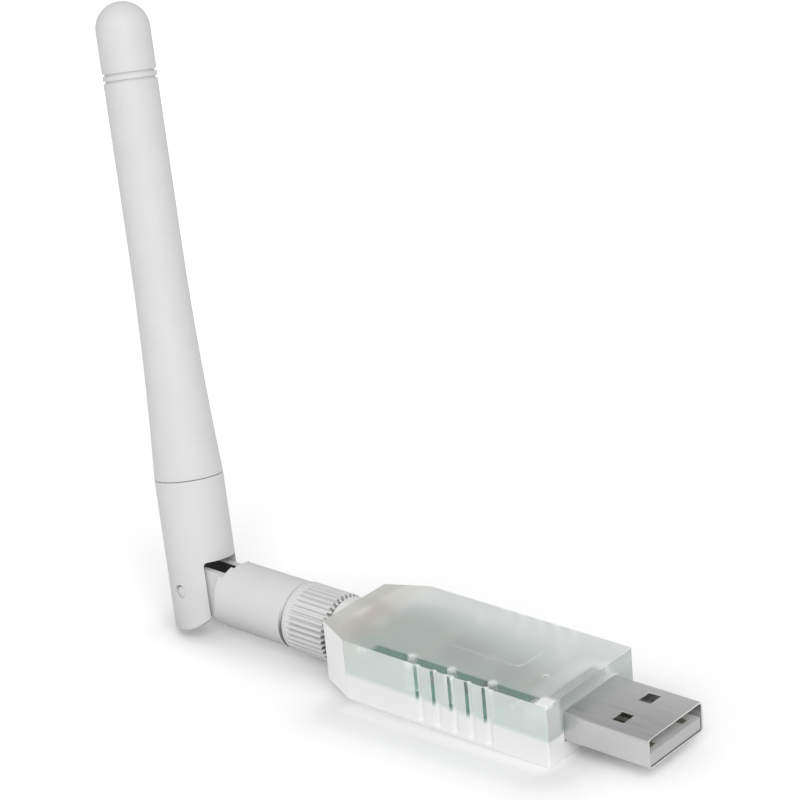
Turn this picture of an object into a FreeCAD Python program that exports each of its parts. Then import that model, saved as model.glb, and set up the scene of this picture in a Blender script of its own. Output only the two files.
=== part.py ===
import FreeCAD, Part
import math
import os

# USB radio stick with a screwed-on, folding whip antenna. Millimetres.
# Origin: where the plug leaves the case, on the plug's axis. +X points out of the plug, +Z is up.

V = FreeCAD.Vector

# Case: two clear shells that meet at the parting level
case_length = 41.3
case_width = 19.0
case_height = 9.2
case_wall = 1.3
taper_length = 6.3
taper_depth = 2.9
front_corner = 0.35
taper_corner = 0.6
end_corner = 0.3
edge_chamfer = 0.15
neck_length = 1.7
neck_radius = 4.9
lip_thickness = 0.5
lip_height = 0.8
lip_clearance = 0.05

# Grip grooves on both long sides, and the marks on the top face
grip_count = 5
grip_pitch = 2.94
grip_middle_x = -15.8
grip_radius = 0.75
grip_depth = 0.5
grip_foot = 0.45
grip_head = 0.2
panel_length = 12.4
panel_width = 5.8
panel_height = 0.2
panel_chamfer = 0.15
panel_corner = 1.0
panel_middle_x = -15.4
gate_mark_x = -5.0
gate_mark_y = -3.0
gate_mark_radius = 0.6
gate_mark_depth = 0.2

# Posts that hold the board, in pairs near the long walls
post_radius = 0.65
post_count = 3
post_pitch = 6.95
post_middle_x = -17.3
post_inset = 0.75

# Circuit board
board_top = -0.45
board_thickness = 1.2
board_clearance = 0.25
notch_clearance = 0.1

# Parts on the board, in rows that follow each other from the contact tails
row_gap = 0.8
part_pitch = 2.6
edge_gap = 1.6
capacitor_size = (1.0, 1.6, 0.8)
resistor_size = (0.8, 1.4, 0.45)
led_size = (1.6, 0.8, 0.6)
usb_chip_size = (4.0, 4.0, 0.85)
regulator_size = (1.6, 2.9, 1.1)
crystal_size = (2.5, 3.2, 0.8)
radio_chip_size = (6.0, 6.0, 0.9)

# Plug
plug_reach = 13.5
plug_inside = 5.2
plug_width = 12.0
plug_height = 4.5
plug_sheet = 0.3
plug_corner = 0.5
plug_slot_clearance = 0.05
window_from_mouth = 6.16
window_length = 2.0
window_width = 2.4
window_offset = 2.95
tongue_recess = 0.15
tongue_fit = 0.05
tongue_thickness = 1.85
cavity_depth = 11.9
contact_width = 1.0
contact_thickness = 0.25
contact_proud = 0.04
contact_pitch_inner = 1.0
contact_pitch_outer = 3.5
contact_recess_inner = 2.2
contact_recess_outer = 1.2
contact_tail = 2.2
lug_length = 2.0
lug_reach = 1.3
lug_front = 3.0

# Antenna connector on the end of the board
axis_z = -0.3
jack_radius = 3.15
jack_clearance = 0.05
jack_reach = 7.9
jack_bore = 2.05
flange_width = 7.6
flange_height = 5.6
flange_thickness = 1.8
block_width = 6.0
block_height = 4.6
block_length = 1.9
leg_width = 0.9
leg_height = 0.9
leg_length = 4.2
leg_offset = 2.3
jack_pin_radius = 0.75
jack_pin_socket = 0.5
jack_pin_recess = 1.8
jack_tail_length = 3.0
jack_tail_width = 0.6
jack_tail_height = 0.3

# Knurled collar with its metal nut
collar_gap = 0.35
collar_length = 8.1
collar_radius = 5.1
collar_rim = 1.2
collar_lip = 0.4
collar_lip_depth = 0.6
knurl_count = 36
knurl_depth = 0.5
knurl_crest = 0.45
nut_radius = 4.1
nut_recess = 0.3
nut_play = 0.05
nut_neck_radius = 2.5
ring_groove_radius = 2.95
ring_groove_width = 0.7

# Ferrule, its snap ring, bead and pin
ferrule_radius = 2.4
ferrule_nose_radius = 3.0
ferrule_nose_length = 0.6
ferrule_gap = 0.1
ferrule_seat = 6.5
ferrule_bore = 1.6
ring_thickness = 0.5
ring_outer_radius = 2.85
ring_seat_radius = 2.1
ferrule_pin_radius = 0.45
ferrule_pin_reach = 3.2
ferrule_pin_gap = 0.4

# Antenna base and hinge
base_radius = 4.95
base_gap = 0.15
base_turn = 8.2
pin_x = -71.6
shoulder_distance = 7.2
knuckle_radius = 3.5
cheek_outer = 2.85
cheek_inner = 1.7
cheek_slot_run = 0.6
pin_radius = 1.0
pin_clearance = 0.04
pin_recess = 0.2
pin_inner = 1.9
coax_radius = 0.55
coax_bore = 0.8
coax_bend = 4.0
coax_gap = 0.3

# Whip: heights are above the hinge pin when the whip stands square to the base
whip_lean = 10.7
clevis_radius = 5.1
slot_half_width = 3.3
slot_roof = 4.0
ear_reach = 5.8
ear_corner = 1.6
seam_height = 16.35
seam_gap = 0.1
spigot_radius = 3.4
spigot_length = 4.5
spigot_clearance = 0.05
flare_height = 52.0
sleeve_radius = 3.94
sleeve_bore = 2.6
high_groove = 75.95
groove_spacing = 1.0
groove_width = 0.35
groove_depth = 0.3
cap_radius = 3.97
cap_length = 10.25
cap_spigot = 5.0
dipole_foot = 22.0
dipole_length = 26.0
dipole_radius = 2.3
dipole_wall = 0.3
rod_radius = 0.45
rod_length = 22.0

# Values that follow from the sizes above
half_width = case_width / 2
half_height = case_height / 2
roof_inside = half_height - case_wall
parting = board_top
board_bottom = board_top - board_thickness
end_inside = -case_length + case_wall
neck_end = -case_length - neck_length
block_front = end_inside + flange_thickness + block_length
jack_end = end_inside - jack_reach
collar_front = neck_end - collar_gap
collar_back = collar_front - collar_length
base_front = collar_back - base_gap
shoulder_x = pin_x + shoulder_distance
pin_z = axis_z
low_groove = high_groove - groove_spacing
tip_height = high_groove + cap_length
coax_reach = coax_bend * math.tan(math.radians(90 - whip_lean) / 2)
board_side = half_width - case_wall - board_clearance
tongue_floor = -plug_height / 2 + plug_sheet
tongue_top = tongue_floor + tongue_thickness
grip_places = [grip_middle_x + grip_pitch * (i - (grip_count - 1) / 2) for i in range(grip_count)]
nut_front = collar_front - nut_recess
nut_back = collar_back + collar_lip
nose_front = jack_end - ferrule_gap
nose_back = nose_front - ferrule_nose_length
nut_shoulder = nose_back - nut_play
ring_x = (nut_back + nut_shoulder) / 2


def box(x0, x1, y0, y1, z0, z1):
    return Part.makeBox(x1 - x0, y1 - y0, z1 - z0, V(x0, y0, z0))


def rod_x(x0, x1, radius, z=axis_z, y=0.0):
    return Part.makeCylinder(radius, x1 - x0, V(x0, y, z), V(1, 0, 0))


def rod_y(y0, y1, radius, x, z):
    return Part.makeCylinder(radius, y1 - y0, V(x, y0, z), V(0, 1, 0))


def rod_z(z0, z1, radius, x, y=0.0):
    return Part.makeCylinder(radius, z1 - z0, V(x, y, z0), V(0, 0, 1))


def rounded_wire(corners, radii):
    # closed outline with an arc of the given radius at each corner
    edges = []
    starts = []
    ends = []
    for i, corner in enumerate(corners):
        before = (corners[i - 1] - corner).normalize()
        after = (corners[(i + 1) % len(corners)] - corner).normalize()
        half_angle = before.getAngle(after) / 2
        reach = radii[i] / math.tan(half_angle)
        middle = (before + after).normalize()
        depth = radii[i] / math.sin(half_angle) - radii[i]
        start = corner + before * reach
        end = corner + after * reach
        edges.append(Part.Arc(start, corner + middle * depth, end).toShape())
        starts.append(start)
        ends.append(end)
    for i in range(len(corners)):
        edges.append(Part.makeLine(ends[i], starts[(i + 1) % len(corners)]))
    return Part.Wire(Part.__sortEdges__(edges))


def inset(corners, distance):
    # a convex outline, drawn anticlockwise, with every side moved inwards
    moved = []
    for i, corner in enumerate(corners):
        before = (corner - corners[i - 1]).normalize()
        after = (corners[(i + 1) % len(corners)] - corner).normalize()
        bisector = V(-before.y, before.x, 0) + V(-after.y, after.x, 0)
        bisector.normalize()
        moved.append(corner + bisector * (distance / bisector.dot(V(-after.y, after.x, 0))))
    return moved


def case_corners():
    end_half = half_width - taper_depth
    taper_x = -case_length + taper_length
    places = [(taper_x, -half_width), (0, -half_width), (0, half_width)]
    places += [(taper_x, half_width), (-case_length, end_half), (-case_length, -end_half)]
    return [V(x, y, 0) for x, y in places]


def prism(wire, z0, z1):
    face = Part.Face(wire)
    face.translate(V(0, 0, z0))
    return face.extrude(V(0, 0, z1 - z0))


def inset_prism(distance, z0, z1):
    corners = inset(case_corners(), distance)
    return prism(Part.makePolygon(corners + corners[:1]), z0, z1)


def case_outside():
    radii = [taper_corner, front_corner, front_corner, taper_corner, end_corner, end_corner]
    body = prism(rounded_wire(case_corners(), radii), -half_height, half_height)
    rims = [edge for edge in body.Edges if edge.BoundBox.ZLength < 0.001]
    body = body.makeChamfer(edge_chamfer, rims)
    neck = rod_x(neck_end, end_inside, neck_radius)
    slab = box(neck_end, end_inside, -half_width, half_width, -half_height, half_height)
    return body.fuse(neck.common(slab))


def grip_cutters():
    # round-bottomed flutes that stop short of the top and the foot
    out = grip_radius - grip_depth
    cutters = []
    for x in grip_places:
        for side in (-1, 1):
            y = side * (half_width + out)
            cutters.append(rod_z(-half_height + grip_foot, half_height - grip_head, grip_radius, x, y))
    return cutters


def plug_slot():
    half_y = plug_width / 2 + plug_slot_clearance
    half_z = plug_height / 2 + plug_slot_clearance
    return box(-case_wall - 1, 1, -half_y, half_y, -half_z, half_z)


def post_pieces(z0, z1):
    y = half_width - case_wall - post_inset
    places = [post_middle_x + post_pitch * (i - (post_count - 1) / 2) for i in range(post_count)]
    return [rod_z(z0, z1, post_radius, x, side * y) for x in places for side in (-1, 1)]


def case_blank():
    body = case_outside().cut(inset_prism(case_wall, -roof_inside, roof_inside))
    body = body.cut(plug_slot())
    body = body.cut(rod_x(neck_end - 1, end_inside + 1, jack_radius + jack_clearance))
    return body.cut(Part.Compound(grip_cutters()))


def lip_ring(clearance):
    outer = inset_prism(case_wall - lip_thickness - clearance, parting, parting + lip_height + clearance)
    ring = outer.cut(inset_prism(case_wall + clearance, parting - 1, parting + lip_height + 1))
    gap = box(-case_wall - 1, 1, -plug_width / 2 - 1, plug_width / 2 + 1, parting - 1, parting + 2)
    end = box(-case_length - 1, end_inside + 1, -neck_radius, neck_radius, parting - 1, parting + 2)
    return ring.cut(gap).cut(end)


def top_panel():
    # low raised panel with bevelled edges
    x0 = panel_middle_x - panel_length / 2
    x1 = panel_middle_x + panel_length / 2
    y1 = panel_width / 2
    corners = [V(x0, -y1, 0), V(x1, -y1, 0), V(x1, y1, 0), V(x0, y1, 0)]
    top = half_height + panel_height
    panel = prism(rounded_wire(corners, [panel_corner] * 4), roof_inside, top)
    rims = [edge for edge in panel.Edges if edge.BoundBox.ZMin > top - 0.001]
    return panel.makeChamfer(panel_chamfer, rims)


def case_upper():
    keep = box(neck_end - 1, 1, -half_width - 1, half_width + 1, parting, half_height + 1)
    shell = case_blank().common(keep)
    shell = shell.fuse(post_pieces(board_top, roof_inside + 0.1))
    shell = shell.cut(lip_ring(lip_clearance))
    mark = rod_z(half_height - gate_mark_depth, half_height + 1, gate_mark_radius, gate_mark_x, gate_mark_y)
    return shell.fuse(top_panel()).cut(mark).removeSplitter()


def case_lower():
    keep = box(neck_end - 1, 1, -half_width - 1, half_width + 1, -half_height - 1, parting)
    shell = case_blank().common(keep)
    shell = shell.fuse([lip_ring(0)] + post_pieces(-roof_inside - 0.1, board_bottom))
    return shell.removeSplitter()


def circuit_board():
    board = inset_prism(case_wall + board_clearance, board_bottom, board_top)
    reach = plug_inside + notch_clearance
    half_y = plug_width / 2 + notch_clearance
    board = board.cut(box(-reach, 1, -half_y, half_y, board_bottom - 1, board_top + 1))
    return board.cut(box(-case_length, block_front, -half_width, half_width, board_bottom - 1, board_top + 1))


def plug_prism(shrink, x0, x1):
    # the plug's rounded section, drawn in by shrink on every side
    y = plug_width / 2 - shrink
    z = plug_height / 2 - shrink
    corners = [V(-z, -y, 0), V(z, -y, 0), V(z, y, 0), V(-z, y, 0)]
    solid = prism(rounded_wire(corners, [plug_corner - shrink] * 4), x0, x1)
    solid.rotate(V(0, 0, 0), V(0, 1, 0), 90)
    return solid


def plug_shell():
    shell = plug_prism(0, -plug_inside, plug_reach)
    shell = shell.cut(plug_prism(plug_sheet, -plug_inside - 1, plug_reach + 1))
    lug_x = -lug_front
    for side in (-1, 1):
        y0, y1 = sorted((side * (plug_width / 2 - plug_sheet / 2), side * (plug_width / 2 + lug_reach)))
        shell = shell.fuse(box(lug_x - lug_length, lug_x, y0, y1, board_top, board_top + plug_sheet))
    x = plug_reach - window_from_mouth
    x0 = x - window_length / 2
    x1 = x + window_length / 2
    half = window_width / 2
    for y in (-window_offset, window_offset):
        shell = shell.cut(box(x0, x1, y - half, y + half, -plug_height, plug_height))
    return shell


def contact_pieces():
    # each contact lies along the tongue and ends in a tail on the board
    top = tongue_top + contact_proud
    bottom = top - contact_thickness
    edge = -plug_inside
    tail_end = edge - contact_tail
    tail_top = board_top + contact_thickness
    pieces = []
    for y in (-contact_pitch_outer, -contact_pitch_inner, contact_pitch_inner, contact_pitch_outer):
        recess = contact_recess_outer if abs(y) == contact_pitch_outer else contact_recess_inner
        front = plug_reach - recess
        side = [(front, bottom), (front, top), (edge, top), (edge - contact_thickness, tail_top)]
        side += [(tail_end, tail_top), (tail_end, board_top)]
        side += [(edge - contact_thickness, board_top), (edge, bottom)]
        points = [V(x, y - contact_width / 2, z) for x, z in side]
        pieces.append(Part.Face(Part.makePolygon(points + points[:1])).extrude(V(0, contact_width, 0)))
    return pieces


def plug_tongue():
    # the tongue fills the lower part of the plug, and its block fills the back
    mouth = plug_reach - tongue_recess
    body = plug_prism(plug_sheet + tongue_fit, -plug_inside, mouth)
    cavity = box(plug_reach - cavity_depth, mouth + 1, -plug_width, plug_width, tongue_top, plug_height)
    return body.cut(cavity).cut(Part.Compound(contact_pieces())).removeSplitter()


def chip(x, y, size):
    length, width, height = size
    return box(x - length / 2, x + length / 2, y - width / 2, y + width / 2, board_top, board_top + height)


def row_places():
    # middle of each row, from the plug to the antenna
    sizes = [capacitor_size, usb_chip_size, crystal_size, radio_chip_size, capacitor_size, resistor_size]
    places = []
    edge = -plug_inside - contact_tail
    for size in sizes:
        places.append(edge - row_gap - size[0] / 2)
        edge = places[-1] - size[0] / 2
    return places


def capacitors():
    rows = row_places()
    places = [(rows[0], part_pitch * i) for i in (-1, 0, 1)]
    places += [(rows[4], part_pitch * i) for i in (-1.5, -0.5, 0.5, 1.5)]
    return [chip(x, y, capacitor_size) for x, y in places]


def resistors():
    rows = row_places()
    places = [(rows[5], part_pitch * i) for i in (-1, 0, 1)]
    places += [(rows[2], part_pitch * i) for i in (-1.5, 1.5)]
    return [chip(x, y, resistor_size) for x, y in places]


def status_led():
    return chip(row_places()[0], board_side - edge_gap - led_size[1] / 2, led_size)


def regulator():
    return chip(row_places()[1], -board_side + edge_gap + regulator_size[1] / 2, regulator_size)


def bar(x0, x1, width, height):
    # rectangular bar centred on the connector's axis
    return box(x0, x1, -width / 2, width / 2, axis_z - height / 2, axis_z + height / 2)


def antenna_jack():
    barrel = rod_x(jack_end, end_inside, jack_radius)
    fx = end_inside + flange_thickness
    flange = bar(end_inside, fx, flange_width, flange_height)
    block = bar(fx, block_front, block_width, block_height)
    body = barrel.fuse([flange, block])
    for y in (-leg_offset, leg_offset):
        y0 = y - leg_width / 2
        y1 = y + leg_width / 2
        for z0 in (board_top, board_bottom - leg_height):
            body = body.fuse(box(block_front - 0.1, block_front + leg_length, y0, y1, z0, z0 + leg_height))
    return body.cut(rod_x(jack_end - 1, block_front + 1, jack_bore)).removeSplitter()


def jack_pin():
    mouth = jack_end + jack_pin_recess
    pin = rod_x(mouth, block_front, jack_pin_radius)
    pin = pin.cut(rod_x(mouth - 1, mouth + ferrule_pin_reach, jack_pin_socket))
    half = jack_tail_width / 2
    tail_top = board_top + jack_tail_height
    return pin.fuse(box(block_front - 0.1, block_front + jack_tail_length, -half, half, board_top, tail_top))


def jack_bead():
    bead = rod_x(jack_end + jack_pin_recess, block_front, jack_bore)
    return bead.cut(rod_x(jack_end, block_front + 1, jack_pin_radius))


def knurled_collar():
    # ridges run along the collar and stop at a plain rim
    step = 2 * math.pi / knurl_count
    half_crest = step * knurl_crest / 2
    valley = collar_radius - knurl_depth
    start = collar_back + collar_rim
    points = []
    for i in range(knurl_count):
        middle = i * step
        places = [(collar_radius, middle - half_crest), (collar_radius, middle + half_crest), (valley, middle + step / 2)]
        for radius, angle in places:
            points.append(V(start, radius * math.cos(angle), axis_z + radius * math.sin(angle)))
    ridges = Part.Face(Part.makePolygon(points + points[:1])).extrude(V(collar_length - collar_rim, 0, 0))
    rim = rod_x(collar_back, start, collar_radius)
    bore = rod_x(nut_back - 1, collar_front + 1, nut_radius)
    back_bore = rod_x(collar_back - 1, nut_back, nut_radius - collar_lip_depth)
    return ridges.fuse(rim).cut(bore).cut(back_bore).removeSplitter()


def coupling_nut():
    nut = rod_x(nut_back, nut_front, nut_radius)
    nut = nut.cut(rod_x(nut_shoulder, nut_front + 1, jack_radius + jack_clearance))
    nut = nut.cut(rod_x(nut_back - 1, nut_front, nut_neck_radius))
    half = ring_groove_width / 2
    return nut.cut(rod_x(ring_x - half, ring_x + half, ring_groove_radius))


def ferrule():
    nose = rod_x(nose_back, nose_front, ferrule_nose_radius)
    body = nose.fuse(rod_x(base_front - ferrule_seat, nose_back, ferrule_radius))
    half = ring_groove_width / 2
    groove = rod_x(ring_x - half, ring_x + half, ferrule_radius + 1)
    groove = groove.cut(rod_x(ring_x - half, ring_x + half, ring_seat_radius))
    body = body.cut(groove)
    return body.cut(rod_x(base_front - ferrule_seat - 1, nose_front + 1, ferrule_bore)).removeSplitter()


def snap_ring():
    half = ring_thickness / 2
    ring = rod_x(ring_x - half, ring_x + half, ring_outer_radius)
    ring = ring.cut(rod_x(ring_x - 1, ring_x + 1, ring_seat_radius))
    opening = box(ring_x - 1, ring_x + 1, 0, ring_outer_radius + 1, axis_z - 0.4, axis_z + 0.4)
    return ring.cut(opening)


def ferrule_bead():
    bead = rod_x(base_front - ferrule_seat, nose_front, ferrule_bore)
    return bead.cut(rod_x(base_front - ferrule_seat - 1, jack_end + 1, ferrule_pin_radius))


def ferrule_pin():
    tip = jack_end + jack_pin_recess + ferrule_pin_reach - ferrule_pin_gap
    return rod_x(base_front - ferrule_seat, tip, ferrule_pin_radius)


def antenna_base():
    barrel = rod_x(shoulder_x, base_front, base_radius)
    knuckle = rod_y(-cheek_outer, cheek_outer, knuckle_radius, pin_x, pin_z)
    web = box(pin_x, shoulder_x + 1, -cheek_outer, cheek_outer, pin_z - knuckle_radius, pin_z + knuckle_radius)
    knuckle = knuckle.fuse(web).common(rod_x(pin_x - knuckle_radius, shoulder_x + 1, base_radius))
    body = barrel.fuse(knuckle)
    slot_end = shoulder_x + cheek_slot_run
    low = pin_z - base_radius
    high = pin_z + base_radius
    body = body.cut(box(pin_x - knuckle_radius - 1, slot_end, -cheek_inner, cheek_inner, low, high))
    body = body.cut(rod_y(-cheek_outer - 1, cheek_outer + 1, pin_radius + pin_clearance, pin_x, pin_z))
    body = body.cut(rod_x(base_front - ferrule_seat, base_front + 1, ferrule_radius))
    return swing(body.cut(rod_x(shoulder_x - 1, base_front, coax_bore)).removeSplitter())


def swing(shape):
    # the antenna rests a little turned about the connector's axis
    shape.rotate(V(0, 0, axis_z), V(1, 0, 0), -base_turn)
    return shape


def base_coax():
    # from the ferrule through the base, then up between the cheeks towards the whip
    bend_x = pin_x + coax_reach
    lead = rod_x(bend_x, base_front - ferrule_seat, coax_radius)
    end = Part.Face(Part.Wire(Part.makeCircle(coax_radius, V(bend_x, 0, axis_z), V(1, 0, 0))))
    bend = end.revolve(V(bend_x, 0, axis_z + coax_bend), V(0, 1, 0), 90 - whip_lean)
    return swing(lead.fuse(bend).removeSplitter())


def stand(shape):
    # whip pieces are drawn square to the base, then lean back about the pin and turn with the base
    shape.rotate(V(pin_x, 0, pin_z), V(0, 1, 0), -whip_lean)
    return swing(shape)


def clevis():
    left = pin_x - clevis_radius
    right = pin_x + clevis_radius
    seam = pin_z + seam_height
    foot = pin_z - ear_reach
    drop = math.sqrt(ear_reach ** 2 - clevis_radius ** 2)
    halfway = (math.asin(drop / ear_reach) + math.pi / 2) / 2
    # ear outline seen along the pin: an arc about the pin towards the stick, a rounded corner away from it
    arc_start = V(right, 0, pin_z - drop)
    arc_middle = V(pin_x + ear_reach * math.cos(halfway), 0, pin_z - ear_reach * math.sin(halfway))
    arc_end = V(pin_x, 0, foot)
    corner = ear_corner * (1 - math.sqrt(0.5))
    corner_middle = V(left + corner, 0, foot + corner)
    edges = [
        Part.makeLine(V(right, 0, seam), arc_start),
        Part.Arc(arc_start, arc_middle, arc_end).toShape(),
        Part.makeLine(arc_end, V(left + ear_corner, 0, foot)),
        Part.Arc(V(left + ear_corner, 0, foot), corner_middle, V(left, 0, foot + ear_corner)).toShape(),
        Part.makeLine(V(left, 0, foot + ear_corner), V(left, 0, seam)),
        Part.makeLine(V(left, 0, seam), V(right, 0, seam)),
    ]
    outline = Part.Face(Part.Wire(edges))
    outline.translate(V(0, -clevis_radius, 0))
    body = outline.extrude(V(0, 2 * clevis_radius, 0)).common(rod_z(foot, seam, clevis_radius, pin_x))
    body = body.cut(box(left - 1, right + 1, -slot_half_width, slot_half_width, foot - 1, pin_z + slot_roof))
    body = body.fuse(rod_z(seam - 1, seam + spigot_length, spigot_radius, pin_x))
    body = body.cut(rod_y(-clevis_radius - 1, clevis_radius + 1, pin_radius, pin_x, pin_z))
    body = body.cut(rod_z(pin_z, seam + spigot_length + 1, coax_bore, pin_x))
    return stand(body.removeSplitter())


def hinge_pins():
    outer = clevis_radius - pin_recess
    ends = ((-outer, -pin_inner), (pin_inner, outer))
    return [stand(rod_y(y0, y1, pin_radius, pin_x, pin_z)) for y0, y1 in ends]


def turned(edges):
    # solid of revolution about the whip's axis
    face = Part.Face(Part.Wire(edges))
    return face.revolve(V(pin_x, 0, 0), V(0, 0, 1), 360)


def whip_point(radius, height):
    return V(pin_x + radius, 0, pin_z + height)


def whip_polyline(places):
    points = [whip_point(radius, height) for radius, height in places]
    return [Part.makeLine(a, b) for a, b in zip(points, points[1:])]


def whip_sleeve():
    foot = seam_height + seam_gap
    top = high_groove - groove_width / 2
    low = low_groove - groove_width / 2
    # the flare is one arc that runs out into the straight tube
    spread = clevis_radius - sleeve_radius
    flare = Part.Arc(
        whip_point(clevis_radius, foot),
        whip_point(sleeve_radius + spread / 4, (foot + flare_height) / 2),
        whip_point(sleeve_radius, flare_height),
    )
    counterbore = spigot_radius + spigot_clearance
    counterbore_top = seam_height + spigot_length + spigot_clearance
    outside = [(sleeve_radius, flare_height), (sleeve_radius, low), (sleeve_radius - groove_depth, low)]
    outside += [(sleeve_radius - groove_depth, low + groove_width), (sleeve_radius, low + groove_width)]
    outside += [(sleeve_radius, top), (sleeve_bore, top), (sleeve_bore, counterbore_top)]
    outside += [(counterbore, counterbore_top), (counterbore, foot), (clevis_radius, foot)]
    return stand(turned([flare.toShape()] + whip_polyline(outside)))


def tip_cap():
    seat = high_groove - groove_width / 2
    foot = seat + groove_width
    dome_foot = tip_height - cap_radius
    neck = sleeve_radius - groove_depth
    low = seat - cap_spigot
    spigot = sleeve_bore - spigot_clearance
    slant = cap_radius * math.sqrt(0.5)
    slope = whip_point(slant, dome_foot + slant)
    dome = Part.Arc(whip_point(0, tip_height), slope, whip_point(cap_radius, dome_foot))
    lines = [(0, tip_height), (0, low), (spigot, low), (spigot, seat), (neck, seat), (neck, foot)]
    lines += [(cap_radius, foot), (cap_radius, dome_foot)]
    return stand(turned([dome.toShape()] + whip_polyline(lines)))


def dipole_tube():
    # closed at its top round the lead, which it is soldered to
    foot = pin_z + dipole_foot
    top = foot + dipole_length
    tube = rod_z(foot, top, dipole_radius, pin_x)
    tube = tube.cut(rod_z(foot - 1, top - dipole_wall, dipole_radius - dipole_wall, pin_x))
    return stand(tube.cut(rod_z(foot, top + 1, coax_radius, pin_x)))


def whip_coax():
    return stand(rod_z(pin_z + coax_reach + coax_gap, pin_z + dipole_foot + dipole_length, coax_radius, pin_x))


def radiator_rod():
    foot = pin_z + dipole_foot + dipole_length
    return stand(rod_z(foot, foot + rod_length, rod_radius, pin_x))


def save(name, solids):
    shape = solids if isinstance(solids, Part.Shape) else Part.Compound(solids)
    for solid in shape.Solids:
        if not solid.isValid():
            print("not valid:", name)
    shape.exportStep("parts/" + name + ".step")
    print(name, len(shape.Solids), "solid(s)", round(shape.Volume, 2), "mm3")


os.makedirs("parts", exist_ok=True)
save("case_upper", case_upper())
save("case_lower", case_lower())
save("circuit_board", circuit_board())
save("plug_shell", plug_shell())
save("plug_tongue", plug_tongue())
save("plug_contacts", contact_pieces())
save("radio_chip", chip(row_places()[3], 0, radio_chip_size))
save("usb_chip", chip(row_places()[1], 0, usb_chip_size))
save("crystal", chip(row_places()[2], 0, crystal_size))
save("regulator", regulator())
save("status_led", status_led())
save("capacitors", capacitors())
save("resistors", resistors())
save("antenna_jack", antenna_jack())
save("jack_bead", jack_bead())
save("jack_pin", jack_pin())
save("knurled_collar", knurled_collar())
save("coupling_nut", coupling_nut())
save("ferrule", ferrule())
save("snap_ring", snap_ring())
save("ferrule_bead", ferrule_bead())
save("ferrule_pin", ferrule_pin())
save("antenna_base", antenna_base())
save("base_coax", base_coax())
save("clevis", clevis())
save("hinge_pins", hinge_pins())
save("whip_sleeve", whip_sleeve())
save("tip_cap", tip_cap())
save("dipole_tube", dipole_tube())
save("whip_coax", whip_coax())
save("radiator_rod", radiator_rod())
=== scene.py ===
import bpy
import bmesh
import math
from mathutils import Matrix, Vector


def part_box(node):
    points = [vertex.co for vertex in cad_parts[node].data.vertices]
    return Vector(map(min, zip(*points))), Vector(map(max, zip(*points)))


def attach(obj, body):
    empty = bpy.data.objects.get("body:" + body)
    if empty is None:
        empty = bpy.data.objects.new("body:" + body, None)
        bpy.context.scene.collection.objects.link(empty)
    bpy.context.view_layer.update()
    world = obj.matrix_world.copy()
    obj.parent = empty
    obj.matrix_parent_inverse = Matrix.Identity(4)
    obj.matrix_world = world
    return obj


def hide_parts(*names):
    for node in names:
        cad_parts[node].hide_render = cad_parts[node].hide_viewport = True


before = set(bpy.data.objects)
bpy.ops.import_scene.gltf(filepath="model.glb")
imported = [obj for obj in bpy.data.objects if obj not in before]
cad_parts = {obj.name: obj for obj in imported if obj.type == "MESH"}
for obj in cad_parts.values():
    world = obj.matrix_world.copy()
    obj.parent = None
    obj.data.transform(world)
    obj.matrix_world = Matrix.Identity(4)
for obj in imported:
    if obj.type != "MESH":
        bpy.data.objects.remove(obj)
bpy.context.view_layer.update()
scene = bpy.context.scene
mm = 0.001

# View
view = {
    "place": (0.18677, -0.23562, 0.16894),
    "turn": (67.619, 4.781, 40.525),
    "lens": 117.0,
    "nearest": 0.01,
}
eye = bpy.data.objects.new("eye", bpy.data.cameras.new("eye"))
eye.location = view["place"]
eye.rotation_euler = [math.radians(a) for a in view["turn"]]
eye.data.lens = view["lens"]
eye.data.clip_start = view["nearest"]
scene.collection.objects.link(eye)
scene.camera = eye
scene.view_settings.view_transform = 'Standard'
print("camera set")


# Nodes
def newMaterial(name, colour, roughness, metallic=0.0):
    mat = bpy.data.materials.new(name)
    mat.use_nodes = True
    shader = mat.node_tree.nodes["Principled BSDF"]
    shader.inputs["Base Color"].default_value = (*colour, 1.0)
    shader.inputs["Roughness"].default_value = roughness
    shader.inputs["Metallic"].default_value = metallic
    return mat, mat.node_tree, shader


def feed(tree, value, socket):
    # the value is a number, a colour, or the output of another node
    if isinstance(value, bpy.types.NodeSocket):
        tree.links.new(value, socket)
    else:
        socket.default_value = (*value, 1.0) if isinstance(value, tuple) else value


def mathOf(tree, operation, *values):
    node = tree.nodes.new("ShaderNodeMath")
    node.operation = operation
    for socket, value in zip(node.inputs, values):
        feed(tree, value, socket)
    return node.outputs[0]


def noiseOf(tree, scale, detail=3.0, stretch=None):
    place = tree.nodes.new("ShaderNodeTexCoord").outputs["Object"]
    if stretch:
        mapping = tree.nodes.new("ShaderNodeMapping")
        mapping.inputs["Scale"].default_value = stretch
        tree.links.new(place, mapping.inputs["Vector"])
        place = mapping.outputs["Vector"]
    noise = tree.nodes.new("ShaderNodeTexNoise")
    noise.inputs["Scale"].default_value = scale
    noise.inputs["Detail"].default_value = detail
    tree.links.new(place, noise.inputs["Vector"])
    return noise.outputs["Fac"]


def addBump(tree, shader, height, distance):
    bump = tree.nodes.new("ShaderNodeBump")
    bump.inputs["Distance"].default_value = distance
    tree.links.new(height, bump.inputs["Height"])
    tree.links.new(bump.outputs["Normal"], shader.inputs["Normal"])


def rampOf(tree, factor, stops):
    ramp = tree.nodes.new("ShaderNodeValToRGB")
    band = ramp.color_ramp
    while len(band.elements) < len(stops):
        band.elements.new(0.5)
    for element, (place, colour) in zip(band.elements, stops):
        element.position = place
        element.color = (*colour, 1.0)
    tree.links.new(factor, ramp.inputs["Fac"])
    return ramp.outputs["Color"]


wander = {"coarser": 12.0, "stops": (0.3, 0.7), "roughness": 0.05}


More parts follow.
